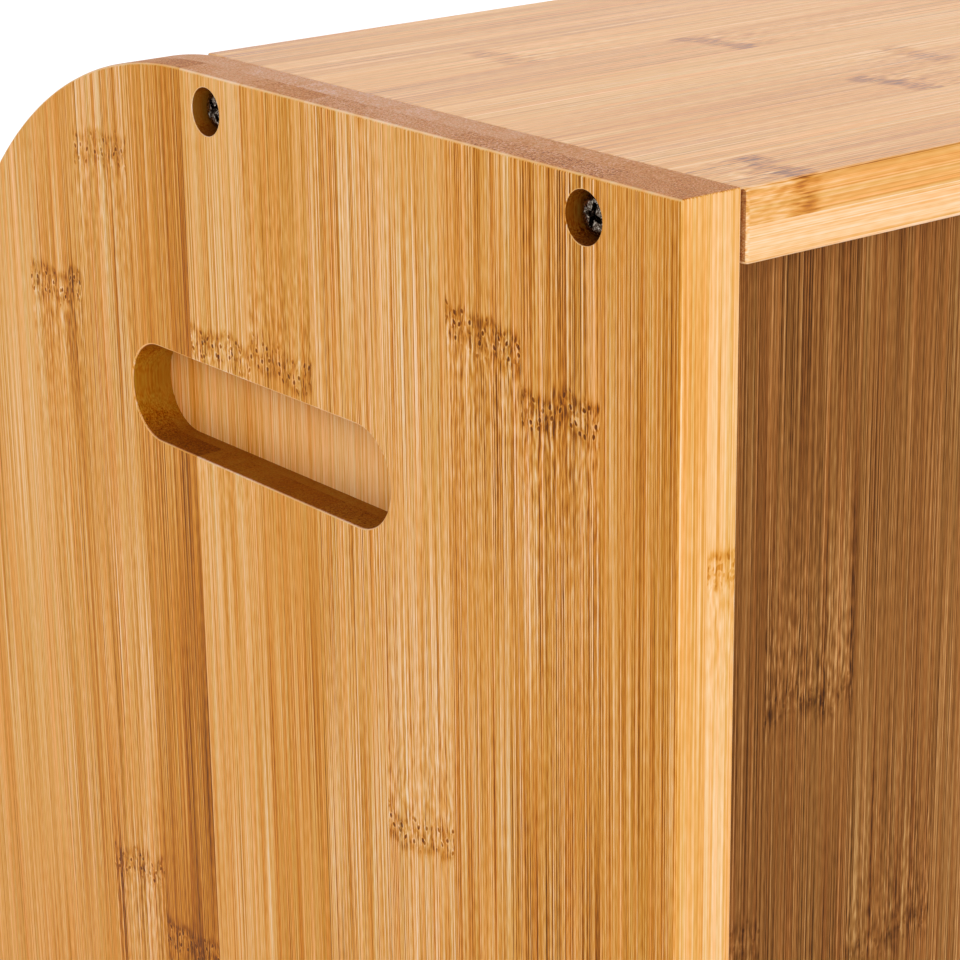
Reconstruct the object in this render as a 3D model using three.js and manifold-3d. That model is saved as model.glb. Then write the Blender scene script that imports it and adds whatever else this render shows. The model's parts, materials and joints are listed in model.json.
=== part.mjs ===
// A bamboo bread box with a roll top, made of separate boards, slats, screws and feet.
// Millimetres, +Z up, the front faces -Y and the right-hand side panel is at +X.
// The pieces are laid out with y = 0 on the rear edge and z = 0 on the ground. The last lines then move
// the whole box along Y, so that its origin lies on the ground under the middle of the box.
import * as THREE from "three";
import { mergeVertices } from "three/addons/utils/BufferGeometryUtils.js";
import Module from "manifold-3d";

const wasm = await Module();
wasm.setup();

// Case
const WIDTH = 400;
const BOARD = 12;
const PANEL_HEIGHT = 225;
const FLAT_TOP = 134;
const NOSE_RADIUS = 95;
const FOOT_HEIGHT = 3;
const JOINT_GAP = 0.3;
const TOP_SET_DOWN = 0.3;
const TOP_DEPTH = 144.2;
const FRONT_FACE = 221;
const HOUSING_DEPTH = 4;
const BACK_RECESS = 8;
const BACK_THICKNESS = 5;
const ARC_STEP = 3;

// Finger pocket in the outer face of each side panel
const POCKET_LENGTH = 82.4;
const POCKET_HEIGHT = 18.9;
const POCKET_DEPTH = 8.7;
const POCKET_BELOW_TOP = 64;

// Screws that hold the top and base boards
const SCREW_FROM_EDGE = 6.8;
const TOP_SCREW_SETBACKS = [22.2, 126];
const BASE_SCREW_SETBACKS = [24, 110, 196];
const COUNTERBORE_RADIUS = 4.4;
const COUNTERBORE_DEPTH = 5.2;
const SCREW_HEAD_RADIUS = 3.8;
const SCREW_HEAD_HEIGHT = 3;
const SCREW_RADIUS = 1.9;
const SCREW_LENGTH = 30;
const SCREW_HOLE_RADIUS = 2.3;
const SCREW_SIDES = 16;
const ROUND_SIDES = 24;

// Roll top: slats on a canvas, turning about one axis in circular grooves
const SLAT_OUTER_RADIUS = 99;
const SLAT_THICKNESS = 6;
const SLAT_WIDTH = 11;
const SLAT_COUNT = 13;
const SLAT_GAP = 0.3;
const SLAT_EDGE_DROP = 1.5;
const SLAT_CURVE_SIDES = 4;
const LEAD_WIDTH = 24;
const LEAD_ANGLE = 187;
const LEAD_ROUNDING = 2.5;
const SLAT_END_CLEARANCE = 1;
const TOP_CLEARANCE = 0.7;
const GROOVE_DEPTH = 6;
const GROOVE_CLEARANCE_IN = 0.4;
const GROOVE_CLEARANCE_OUT = 1.2;
const GROOVE_REAR_ANGLE = 12;
const GROOVE_FRONT_ANGLE = 196;
const CANVAS_THICKNESS = 0.65;
const CANVAS_SIDE_INSET = 4;
const CANVAS_LOW_ANGLE = 183.5;
const CANVAS_HIGH_ANGLE = 91;

// Knob on the lead slat
const KNOB_LENGTH = 22;
const KNOB_FOOT_RADIUS = 8;
const KNOB_NECK_RADIUS = 6.2;
const KNOB_NECK_AT = 4.5;
const KNOB_HEAD_RADIUS = 12.5;
const KNOB_HEAD_AT = 12;
const KNOB_CROWN_RADIUS = 9.5;
const KNOB_HOLE_DEPTH = 14;
const KNOB_SCREW_LENGTH = 18;

// Feet
const FOOT_RADIUS = 8;
const FOOT_SOLE_RADIUS = 7.2;
const FOOT_INSET = 22;

// Places worked out from the sizes above
const PANEL_BOTTOM = FOOT_HEIGHT;
const PANEL_TOP = FOOT_HEIGHT + PANEL_HEIGHT;
const PANEL_FRONT = -(FLAT_TOP + NOSE_RADIUS);
const OUTER_X = WIDTH / 2;
const INNER_X = OUTER_X - BOARD;
const BOARD_X = INNER_X - JOINT_GAP;
const HOUSED_X = INNER_X + HOUSING_DEPTH - JOINT_GAP;
const TOP_UPPER = PANEL_TOP - TOP_SET_DOWN;
const TOP_LOWER = TOP_UPPER - BOARD;
const BASE_UPPER = PANEL_BOTTOM + BOARD;
const BACK_OUTER = -BACK_RECESS;
const BACK_INNER = BACK_OUTER - BACK_THICKNESS;
const AXIS_Y = -124;
const AXIS_Z = TOP_LOWER - TOP_CLEARANCE - SLAT_OUTER_RADIUS;
const SLAT_INNER_RADIUS = SLAT_OUTER_RADIUS - SLAT_THICKNESS;
const SLAT_END_X = INNER_X + GROOVE_DEPTH - SLAT_END_CLEARANCE;
const TOP_SCREW_Z = PANEL_TOP - SCREW_FROM_EDGE;
const BASE_SCREW_Z = PANEL_BOTTOM + SCREW_FROM_EDGE;
const SCREW_SEAT_X = OUTER_X - COUNTERBORE_DEPTH + JOINT_GAP;

const toRadians = THREE.MathUtils.degToRad;
const LEAD_DROP = LEAD_WIDTH / 2 * Math.cos(toRadians(LEAD_ANGLE - 180))
  + SLAT_OUTER_RADIUS * Math.sin(toRadians(LEAD_ANGLE - 180));
const FRONT_UPPER = AXIS_Z - LEAD_DROP - JOINT_GAP;

const bamboo = new THREE.MeshStandardMaterial({ color: 0xd79d5a, roughness: 0.55, metalness: 0 });
const darkBamboo = new THREE.MeshStandardMaterial({ color: 0x9b673a, roughness: 0.6, metalness: 0 });
const paleBamboo = new THREE.MeshStandardMaterial({ color: 0xdfab6c, roughness: 0.5, metalness: 0 });
const darkSteel = new THREE.MeshStandardMaterial({ color: 0x4a4038, roughness: 0.35, metalness: 0.9 });
const canvas = new THREE.MeshStandardMaterial({ color: 0xcbbd9c, roughness: 0.95, metalness: 0 });
const rubber = new THREE.MeshStandardMaterial({ color: 0x262423, roughness: 0.8, metalness: 0 });

// Shape coordinates (a, b) become world (y, z), and the extrusion runs along x.
const SIDEWAYS = new THREE.Matrix4().makeBasis(
  new THREE.Vector3(0, 1, 0),
  new THREE.Vector3(0, 0, 1),
  new THREE.Vector3(1, 0, 0),
);

/** A solid with the given outline in the YZ plane, from one x to the other, in either order. */
function slab(shape, xA, xB, curveSegments) {
  const depth = Math.abs(xB - xA);
  const geometry = new THREE.ExtrudeGeometry(shape, { depth, bevelEnabled: false, curveSegments });
  geometry.applyMatrix4(SIDEWAYS);
  geometry.translate(Math.min(xA, xB), 0, 0);
  return geometry;
}

/** A box given by the ranges that it covers, each pair in either order. */
function block([xA, xB], [yA, yB], [zA, zB]) {
  const geometry = new THREE.BoxGeometry(Math.abs(xB - xA), Math.abs(yB - yA), Math.abs(zB - zA));
  geometry.translate((xA + xB) / 2, (yA + yB) / 2, (zA + zB) / 2);
  return geometry;
}

/** A round bar along x. */
function roundBar(radius, [xA, xB], y, z) {
  const geometry = new THREE.CylinderGeometry(radius, radius, Math.abs(xB - xA), SCREW_SIDES);
  geometry.rotateZ(Math.PI / 2);
  geometry.translate((xA + xB) / 2, y, z);
  return geometry;
}

/** A ring sector about the roll top's axis, or about the origin. Angles run from +Y towards +Z. */
function ringSector(innerRadius, outerRadius, fromAngle, toAngle, centreY, centreZ) {
  const shape = new THREE.Shape();
  shape.absarc(centreY, centreZ, outerRadius, toRadians(fromAngle), toRadians(toAngle), false);
  shape.absarc(centreY, centreZ, innerRadius, toRadians(toAngle), toRadians(fromAngle), true);
  return shape;
}

/** The curve segments that give an arc a side every ARC_STEP degrees: each segment is two sides. */
function arcSegments(degrees) {
  return Math.ceil(degrees / ARC_STEP / 2);
}

/** The closed mesh as a solid that can be cut. */
function solidOf(geometry) {
  geometry.deleteAttribute("normal");
  geometry.deleteAttribute("uv");
  const merged = mergeVertices(geometry);
  return new wasm.Manifold(new wasm.Mesh({
    numProp: 3,
    vertProperties: new Float32Array(merged.attributes.position.array),
    triVerts: new Uint32Array(merged.index.array),
  }));
}

function geometryOf(solid) {
  const mesh = solid.getMesh();
  const geometry = new THREE.BufferGeometry();
  geometry.setAttribute("position", new THREE.BufferAttribute(mesh.vertProperties, 3));
  geometry.setIndex(new THREE.BufferAttribute(mesh.triVerts, 1));
  geometry.computeVertexNormals();
  return geometry;
}

function cut(geometry, cutters) {
  const whole = solidOf(geometry);
  return geometryOf(cutters.reduce((solid, cutter) => solid.subtract(solidOf(cutter)), whole));
}

function piece(name, geometry, material) {
  const mesh = new THREE.Mesh(geometry, material);
  mesh.name = name;
  return mesh;
}

/** The side panel's outline: flat top, a quarter circle at the top front corner, straight front. */
function panelOutline() {
  const shape = new THREE.Shape();
  shape.moveTo(0, PANEL_BOTTOM);
  shape.lineTo(0, PANEL_TOP);
  shape.lineTo(-FLAT_TOP, PANEL_TOP);
  shape.absarc(-FLAT_TOP, PANEL_TOP - NOSE_RADIUS, NOSE_RADIUS, Math.PI / 2, Math.PI, false);
  shape.lineTo(PANEL_FRONT, PANEL_BOTTOM);
  return shape;
}

/** A slot with half-round ends, level, with its rear end half its own length from the middle. */
function pocketOutline() {
  const radius = POCKET_HEIGHT / 2;
  const reach = POCKET_LENGTH / 2 - radius;
  const y = PANEL_FRONT / 2;
  const z = PANEL_TOP - POCKET_BELOW_TOP;
  const shape = new THREE.Shape();
  shape.absarc(y + reach, z, radius, -Math.PI / 2, Math.PI / 2, false);
  shape.absarc(y - reach, z, radius, Math.PI / 2, Math.PI * 3 / 2, false);
  return shape;
}

/** Where the screws of one side go: their names, and their y and z. */
function screwPlaces() {
  const top = TOP_SCREW_SETBACKS.map((setback, i) => ["top_screw", i + 1, -setback, TOP_SCREW_Z]);
  const base = BASE_SCREW_SETBACKS.map((setback, i) => ["base_screw", i + 1, -setback, BASE_SCREW_Z]);
  return [...top, ...base];
}

/** side is 1 for the right-hand panel and -1 for the left-hand one. */
function sidePanel(side, name) {
  const outside = side * (OUTER_X + BOARD);
  const inside = side * (INNER_X - BOARD);
  const housingFloor = side * (INNER_X + HOUSING_DEPTH);
  const grooveShape = ringSector(
    SLAT_INNER_RADIUS - GROOVE_CLEARANCE_IN,
    SLAT_OUTER_RADIUS + GROOVE_CLEARANCE_OUT,
    GROOVE_REAR_ANGLE,
    GROOVE_FRONT_ANGLE,
    AXIS_Y,
    AXIS_Z,
  );
  const grooveSegments = arcSegments(GROOVE_FRONT_ANGLE - GROOVE_REAR_ANGLE);
  const cutters = [
    slab(pocketOutline(), side * (OUTER_X - POCKET_DEPTH), outside, ROUND_SIDES / 4),
    slab(grooveShape, inside, side * (INNER_X + GROOVE_DEPTH), grooveSegments),
    block(
      [inside, housingFloor],
      [-FRONT_FACE - JOINT_GAP, -FRONT_FACE + BOARD + JOINT_GAP],
      [BASE_UPPER, FRONT_UPPER + JOINT_GAP],
    ),
    block(
      [inside, housingFloor],
      [BACK_INNER - JOINT_GAP, BACK_OUTER + JOINT_GAP],
      [BASE_UPPER - HOUSING_DEPTH, TOP_LOWER + HOUSING_DEPTH],
    ),
  ];
  for (const [, , y, z] of screwPlaces()) {
    cutters.push(roundBar(COUNTERBORE_RADIUS, [side * (OUTER_X - COUNTERBORE_DEPTH), outside], y, z));
    cutters.push(roundBar(SCREW_HOLE_RADIUS, [inside, outside], y, z));
  }
  const panel = slab(panelOutline(), side * INNER_X, side * OUTER_X, arcSegments(90));
  return piece(name, cut(panel, cutters), bamboo);
}

/** Pilot holes for the screws in a board's two ends. */
function pilotHoles(setbacks, z) {
  const depth = SCREW_SEAT_X - SCREW_LENGTH - JOINT_GAP;
  return [1, -1].flatMap((side) => setbacks.map(
    (setback) => roundBar(SCREW_HOLE_RADIUS, [side * depth, side * OUTER_X], -setback, z),
  ));
}

function topBoard() {
  const board = block([-BOARD_X, BOARD_X], [-TOP_DEPTH, 0], [TOP_LOWER, TOP_UPPER]);
  const backGroove = block(
    [-OUTER_X, OUTER_X],
    [BACK_INNER - JOINT_GAP, BACK_OUTER + JOINT_GAP],
    [TOP_LOWER - BOARD, TOP_LOWER + HOUSING_DEPTH],
  );
  const cutters = [backGroove, ...pilotHoles(TOP_SCREW_SETBACKS, TOP_SCREW_Z)];
  return piece("top_board", cut(board, cutters), bamboo);
}

function baseBoard() {
  const board = block([-BOARD_X, BOARD_X], [-FRONT_FACE, 0], [PANEL_BOTTOM, BASE_UPPER]);
  const backGroove = block(
    [-OUTER_X, OUTER_X],
    [BACK_INNER - JOINT_GAP, BACK_OUTER + JOINT_GAP],
    [BASE_UPPER - HOUSING_DEPTH, BASE_UPPER + BOARD],
  );
  const cutters = [backGroove, ...pilotHoles(BASE_SCREW_SETBACKS, BASE_SCREW_Z)];
  return piece("base_board", cut(board, cutters), bamboo);
}

/** The back panel sits in grooves on all four sides. */
function backPanel() {
  const reach = HOUSING_DEPTH - JOINT_GAP;
  const geometry = block(
    [-HOUSED_X, HOUSED_X],
    [BACK_INNER, BACK_OUTER],
    [BASE_UPPER - reach, TOP_LOWER + reach],
  );
  return piece("back_panel", geometry, darkBamboo);
}

/** The fixed board below the opening. The closed roll top stands on its upper edge. */
function frontBoard() {
  const geometry = block(
    [-HOUSED_X, HOUSED_X],
    [-FRONT_FACE, -FRONT_FACE + BOARD],
    [BASE_UPPER + JOINT_GAP, FRONT_UPPER],
  );
  return piece("front_board", geometry, bamboo);
}

/** Four points for each arm of the cross in a screw's head. */
function crossOutline(reach, halfWidth) {
  const shape = new THREE.Shape();
  const corner = [[halfWidth, halfWidth], [halfWidth, reach], [-halfWidth, reach]];
  const points = [0, 1, 2, 3].flatMap((turn) => corner.map(([x, y]) => (
    new THREE.Vector2(x, y).rotateAround(new THREE.Vector2(), turn * Math.PI / 2)
  )));
  shape.setFromPoints(points);
  return shape;
}

/** A cross-head screw on the Y axis. y = 0 is the seat under its head, and the point is at -length. */
function screwGeometry(length) {
  const rim = SCREW_HEAD_HEIGHT * 0.35;
  const point = SCREW_RADIUS * 1.6;
  const crown = new THREE.QuadraticBezierCurve(
    new THREE.Vector2(SCREW_HEAD_RADIUS, rim),
    new THREE.Vector2(SCREW_HEAD_RADIUS * 0.8, SCREW_HEAD_HEIGHT),
    new THREE.Vector2(0, SCREW_HEAD_HEIGHT),
  );
  const profile = [
    new THREE.Vector2(0, -length),
    new THREE.Vector2(SCREW_RADIUS, point - length),
    new THREE.Vector2(SCREW_RADIUS, 0),
    new THREE.Vector2(SCREW_HEAD_RADIUS, 0),
    ...crown.getPoints(3),
  ];
  const recessDepth = SCREW_HEAD_HEIGHT * 0.6;
  const recess = new THREE.ExtrudeGeometry(
    crossOutline(SCREW_HEAD_RADIUS * 0.55, SCREW_HEAD_RADIUS * 0.13),
    { depth: SCREW_HEAD_HEIGHT, bevelEnabled: false },
  );
  recess.rotateX(-Math.PI / 2);
  recess.translate(0, SCREW_HEAD_HEIGHT - recessDepth, 0);
  return cut(new THREE.LatheGeometry(profile, SCREW_SIDES), [recess]);
}

function caseScrews() {
  const geometry = screwGeometry(SCREW_LENGTH);
  const screws = [];
  for (const [side, word] of [[1, "right"], [-1, "left"]]) {
    for (const [kind, number, y, z] of screwPlaces()) {
      const screw = piece(`${kind}_${word}_${number}`, geometry, darkSteel);
      screw.position.set(side * SCREW_SEAT_X, y, z);
      screw.rotation.z = -side * Math.PI / 2;
      screws.push(screw);
    }
  }
  return screws;
}

function feet() {
  const profile = [
    new THREE.Vector2(0, 0),
    new THREE.Vector2(FOOT_SOLE_RADIUS, 0),
    new THREE.Vector2(FOOT_RADIUS, FOOT_RADIUS - FOOT_SOLE_RADIUS),
    new THREE.Vector2(FOOT_RADIUS, FOOT_HEIGHT - JOINT_GAP / 3),
    new THREE.Vector2(0, FOOT_HEIGHT - JOINT_GAP / 3),
  ];
  const geometry = new THREE.LatheGeometry(profile, ROUND_SIDES);
  geometry.rotateX(Math.PI / 2);
  const places = [["rear", -FOOT_INSET], ["front", FOOT_INSET - FRONT_FACE]];
  return places.flatMap(([end, y]) => [["right", 1], ["left", -1]].map(([word, side]) => {
    const foot = piece(`foot_${end}_${word}`, geometry, rubber);
    foot.position.set(side * (INNER_X - FOOT_INSET), y, 0);
    return foot;
  }));
}

/** A slat's section, with x away from the roll top's axis: flat behind, rounded in front. */
function slatSection() {
  const half = SLAT_WIDTH / 2;
  const edge = SLAT_OUTER_RADIUS - SLAT_EDGE_DROP;
  const shape = new THREE.Shape();
  shape.moveTo(SLAT_INNER_RADIUS, -half);
  shape.lineTo(edge, -half);
  shape.quadraticCurveTo(SLAT_OUTER_RADIUS, -half * 0.75, SLAT_OUTER_RADIUS, 0);
  shape.quadraticCurveTo(SLAT_OUTER_RADIUS, half * 0.75, edge, half);
  shape.lineTo(SLAT_INNER_RADIUS, half);
  return shape;
}

/** The wide lead slat's section: flat in front too, with rounded front edges. */
function leadSection() {
  const half = LEAD_WIDTH / 2;
  const edge = SLAT_OUTER_RADIUS - SLAT_EDGE_DROP;
  const flat = half - LEAD_ROUNDING;
  const shape = new THREE.Shape();
  shape.moveTo(SLAT_INNER_RADIUS, -half);
  shape.lineTo(edge, -half);
  shape.quadraticCurveTo(SLAT_OUTER_RADIUS, -half, SLAT_OUTER_RADIUS, -flat);
  shape.lineTo(SLAT_OUTER_RADIUS, flat);
  shape.quadraticCurveTo(SLAT_OUTER_RADIUS, half, edge, half);
  shape.lineTo(SLAT_INNER_RADIUS, half);
  return shape;
}

/** A slat's angle about the axis. Slat 1 is next to the lead slat, and they touch but for a small gap. */
function slatAngle(number) {
  const gap = SLAT_GAP / SLAT_INNER_RADIUS;
  const leadHalf = Math.atan2(LEAD_WIDTH / 2, SLAT_INNER_RADIUS);
  const slatHalf = Math.atan2(SLAT_WIDTH / 2, SLAT_INNER_RADIUS);
  return toRadians(LEAD_ANGLE) - leadHalf - slatHalf - gap - (number - 1) * (2 * slatHalf + gap);
}

function slats() {
  const geometry = slab(slatSection(), -SLAT_END_X, SLAT_END_X, SLAT_CURVE_SIDES);
  return Array.from({ length: SLAT_COUNT }, (_, i) => {
    const slat = piece(`slat_${String(i + 1).padStart(2, "0")}`, geometry, paleBamboo);
    slat.rotation.x = slatAngle(i + 1);
    return slat;
  });
}

function leadSlat() {
  const bar = slab(leadSection(), -SLAT_END_X, SLAT_END_X, SLAT_CURVE_SIDES);
  const hole = new THREE.CylinderGeometry(SCREW_HOLE_RADIUS, SCREW_HOLE_RADIUS, BOARD * 2, SCREW_SIDES);
  hole.translate(0, SLAT_OUTER_RADIUS, 0);
  const slat = piece("lead_slat", cut(bar, [hole]), paleBamboo);
  slat.rotation.x = toRadians(LEAD_ANGLE);
  return slat;
}

/** The cloth that joins the slats, glued to their backs from the lead slat to the last slat. */
function slatCanvas() {
  const outer = SLAT_INNER_RADIUS - JOINT_GAP;
  const shape = ringSector(outer - CANVAS_THICKNESS, outer, CANVAS_HIGH_ANGLE, CANVAS_LOW_ANGLE, 0, 0);
  const reach = INNER_X - CANVAS_SIDE_INSET;
  const segments = arcSegments(CANVAS_LOW_ANGLE - CANVAS_HIGH_ANGLE);
  return piece("slat_canvas", slab(shape, -reach, reach, segments), canvas);
}

/** A turned knob on the Y axis, with a blind screw hole in its foot. */
function knobGeometry() {
  const neck = new THREE.QuadraticBezierCurve(
    new THREE.Vector2(KNOB_FOOT_RADIUS, 1.2),
    new THREE.Vector2(KNOB_NECK_RADIUS - 1, KNOB_NECK_AT),
    new THREE.Vector2(KNOB_HEAD_RADIUS - 2, KNOB_HEAD_AT - 3),
  );
  const shoulder = new THREE.QuadraticBezierCurve(
    new THREE.Vector2(KNOB_HEAD_RADIUS - 2, KNOB_HEAD_AT - 3),
    new THREE.Vector2(KNOB_HEAD_RADIUS, KNOB_HEAD_AT - 1.5),
    new THREE.Vector2(KNOB_HEAD_RADIUS, KNOB_HEAD_AT),
  );
  const crown = new THREE.CubicBezierCurve(
    new THREE.Vector2(KNOB_HEAD_RADIUS, KNOB_HEAD_AT),
    new THREE.Vector2(KNOB_HEAD_RADIUS, KNOB_LENGTH - 3.5),
    new THREE.Vector2(KNOB_CROWN_RADIUS, KNOB_LENGTH),
    new THREE.Vector2(0, KNOB_LENGTH),
  );
  const profile = [
    new THREE.Vector2(0, KNOB_HOLE_DEPTH),
    new THREE.Vector2(SCREW_HOLE_RADIUS, KNOB_HOLE_DEPTH),
    new THREE.Vector2(SCREW_HOLE_RADIUS, 0),
    new THREE.Vector2(KNOB_FOOT_RADIUS, 0),
    ...neck.getPoints(4),
    ...shoulder.getPoints(2).slice(1),
    ...crown.getPoints(6).slice(1),
  ];
  return new THREE.LatheGeometry(profile, ROUND_SIDES);
}

function knob() {
  const geometry = knobGeometry();
  geometry.translate(0, SLAT_OUTER_RADIUS + JOINT_GAP, 0);
  const mesh = piece("knob", geometry, paleBamboo);
  mesh.rotation.x = toRadians(LEAD_ANGLE);
  return mesh;
}

/** The knob's screw comes from behind the lead slat, so its head faces the axis. */
function knobScrew() {
  const geometry = screwGeometry(KNOB_SCREW_LENGTH);
  geometry.translate(0, JOINT_GAP - SLAT_INNER_RADIUS, 0);
  const mesh = piece("knob_screw", geometry, darkSteel);
  mesh.rotation.x = toRadians(LEAD_ANGLE) + Math.PI;
  return mesh;
}

function rollTop() {
  const group = new THREE.Group();
  group.position.set(0, AXIS_Y, AXIS_Z);
  group.add(leadSlat(), ...slats(), slatCanvas(), knob(), knobScrew());
  return group;
}

const breadBox = new THREE.Group();
breadBox.add(
  sidePanel(1, "side_panel_right"),
  sidePanel(-1, "side_panel_left"),
  topBoard(),
  baseBoard(),
  backPanel(),
  frontBoard(),
  ...caseScrews(),
  ...feet(),
  rollTop(),
);

const extent = new THREE.Box3().setFromObject(breadBox, true);
breadBox.position.y = -(extent.min.y + extent.max.y) / 2;

export default breadBox;
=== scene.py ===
"""Looks of the bamboo bread box with a roll top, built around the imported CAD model.

Metres, +Z up, the front faces -Y. Places come from the CAD nodes' boxes and from the joint. Sizes that
a box can't give, such as the radius of the side panels' round corner, are the named values below.
Grain is worked out in millimetres: every vertex has a "grain" attribute, whose x runs across the
bamboo's strips, y along its fibres and z down through its layers.
"""

import json
import math
import random

import bmesh
import bpy
import numpy as np
from mathutils import Matrix, Vector


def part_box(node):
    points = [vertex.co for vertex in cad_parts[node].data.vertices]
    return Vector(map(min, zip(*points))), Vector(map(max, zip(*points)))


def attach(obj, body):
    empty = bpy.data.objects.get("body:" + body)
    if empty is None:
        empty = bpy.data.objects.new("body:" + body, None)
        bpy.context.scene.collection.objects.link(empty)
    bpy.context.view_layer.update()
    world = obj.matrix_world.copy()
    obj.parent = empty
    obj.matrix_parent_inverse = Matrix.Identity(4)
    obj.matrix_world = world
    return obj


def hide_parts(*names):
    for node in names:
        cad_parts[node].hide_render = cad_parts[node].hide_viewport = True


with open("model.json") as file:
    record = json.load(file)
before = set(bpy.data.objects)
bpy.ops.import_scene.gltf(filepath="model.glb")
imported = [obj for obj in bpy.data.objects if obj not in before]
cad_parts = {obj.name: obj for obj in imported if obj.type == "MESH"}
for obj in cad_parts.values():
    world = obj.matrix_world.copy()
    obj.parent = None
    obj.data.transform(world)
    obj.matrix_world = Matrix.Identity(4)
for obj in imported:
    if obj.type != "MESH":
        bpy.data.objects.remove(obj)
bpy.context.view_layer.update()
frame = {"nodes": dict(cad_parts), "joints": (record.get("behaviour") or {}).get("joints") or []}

MM = 0.001

# Places taken from the frame
RIGHT_LOW, RIGHT_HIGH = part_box("side_panel_right")
PANEL_IN = RIGHT_LOW.x
PANEL_OUT = RIGHT_HIGH.x
FRONT = RIGHT_LOW.y
REAR = RIGHT_HIGH.y
BOTTOM = RIGHT_LOW.z
TOP = RIGHT_HIGH.z
JOINT = frame["joints"][0]
AXIS = Vector(JOINT["pos_m"])
BACK_LOW, BACK_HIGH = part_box("back_panel")
FRONT_BOARD_LOW, FRONT_BOARD_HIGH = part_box("front_board")
SLAT_NAMES = sorted(name for name in frame["nodes"] if name.startswith("slat_") and name[-1].isdigit())
SCREW_BOXES = {name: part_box(name) for name in frame["nodes"] if "_screw_" in name}

# Case
NOSE_RADIUS = 95 * MM
GAP = 0.3 * MM
HOUSING_DEPTH = 4 * MM
GROOVE_DEPTH = 6 * MM
GROOVE_INNER = 92.6 * MM
GROOVE_OUTER = 100.2 * MM
GROOVE_ANGLES = (12, 196)
POCKET_LENGTH = 82.4 * MM
POCKET_HEIGHT = 18.9 * MM
POCKET_DEPTH = 8.7 * MM
POCKET_BELOW_TOP = 64 * MM
COUNTERBORE_RADIUS = 4.4 * MM
COUNTERBORE_DEPTH = 5.2 * MM
SCREW_HOLE_RADIUS = 2.3 * MM
SCREW_LENGTH = 30 * MM
SCREW_HEAD_RADIUS = 3.75 * MM
SCREW_HEAD_HEIGHT = 3 * MM
SCREW_CORE_RADIUS = 1.35 * MM
SCREW_CREST_RADIUS = 1.95 * MM
SCREW_PITCH = 1.6 * MM
FOOT_RADIUS = 8 * MM

# Roll top
SLAT_OUTER = 99 * MM
SLAT_INNER = 93 * MM
SLAT_WIDTH = 11 * MM
SLAT_GAP = 0.3 * MM
SLAT_EDGE_DROP = 1.5 * MM
LEAD_WIDTH = 24 * MM
LEAD_ANGLE = 187
LEAD_ROUNDING = 2.5 * MM
CANVAS_THICKNESS = 0.6 * MM
CANVAS_REACH = 184 * MM
CANVAS_ANGLES = (91, 183.5)
KNOB_SCREW_LENGTH = 18 * MM
KNOB_FOOT_RADIUS = 8 * MM
KNOB_HEAD_RADIUS = 12.4 * MM


# ---------------------------------------------------------------------------------------------- meshes


def new_piece(name, mesh):
    piece = bpy.data.objects.new(name, mesh)
    bpy.context.scene.collection.objects.link(piece)
    return piece


def piece_from_bmesh(name, bm):
    bmesh.ops.recalc_face_normals(bm, faces=bm.faces)
    mesh = bpy.data.meshes.new(name)
    bm.to_mesh(mesh)
    bm.free()
    return new_piece(name, mesh)


def apply_modifiers(piece):
    depsgraph = bpy.context.evaluated_depsgraph_get()
    mesh = bpy.data.meshes.new_from_object(piece.evaluated_get(depsgraph))
    old = piece.data
    piece.modifiers.clear()
    piece.data = mesh
    mesh.name = piece.name
    bpy.data.meshes.remove(old)


def prism(name, outline, low_x, high_x):
    """A solid whose outline, a list of (y, z), runs along x."""
    bm = bmesh.new()
    near = [bm.verts.new((low_x, y, z)) for y, z in outline]
    far = [bm.verts.new((high_x, y, z)) for y, z in outline]
    bm.faces.new(near)
    bm.faces.new(far)
    for i in range(len(outline)):
        j = (i + 1) % len(outline)
        bm.faces.new((near[i], near[j], far[j], far[i]))
    return piece_from_bmesh(name, bm)


def block(name, low, high):
    outline = [(low[1], low[2]), (high[1], low[2]), (high[1], high[2]), (low[1], high[2])]
    return prism(name, outline, low[0], high[0])


def arc(centre_y, centre_z, radius, from_degrees, to_degrees, sides):
    angles = [math.radians(from_degrees + (to_degrees - from_degrees) * i / sides) for i in range(sides + 1)]
    return [(centre_y + radius * math.cos(a), centre_z + radius * math.sin(a)) for a in angles]


def round_bar(radius, low_x, high_x, y, z, sides=48):
    return prism("cutter", arc(y, z, radius, 0, 360, sides)[:-1], low_x, high_x)


def lathe(name, profile, sides=64):
    """A solid turned about the y axis. profile is a list of (radius, y) that starts and ends on the axis."""
    bm = bmesh.new()
    rings = []
    for radius, y in profile:
        if radius < 1e-7:
            rings.append([bm.verts.new((0, y, 0))])
            continue
        angles = [2 * math.pi * i / sides for i in range(sides)]
        rings.append([bm.verts.new((radius * math.cos(a), y, radius * math.sin(a))) for a in angles])
    for lower, upper in zip(rings, rings[1:]):
        for i in range(sides):
            j = (i + 1) % sides
            corners = [lower[i % len(lower)], lower[j % len(lower)], upper[j % len(upper)], upper[i % len(upper)]]
            bm.faces.new(list(dict.fromkeys(corners)))
    return piece_from_bmesh(name, bm)


def cut(piece, cutters):
    """Takes the cutters away from the piece, one after another, and removes them."""
    for cutter in cutters:
        modifier = piece.modifiers.new("cut", "BOOLEAN")
        modifier.operation = "DIFFERENCE"
        modifier.solver = "EXACT"
        modifier.object = cutter
    apply_modifiers(piece)
    for cutter in cutters:
        mesh = cutter.data
        bpy.data.objects.remove(cutter)
        bpy.data.meshes.remove(mesh)


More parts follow.
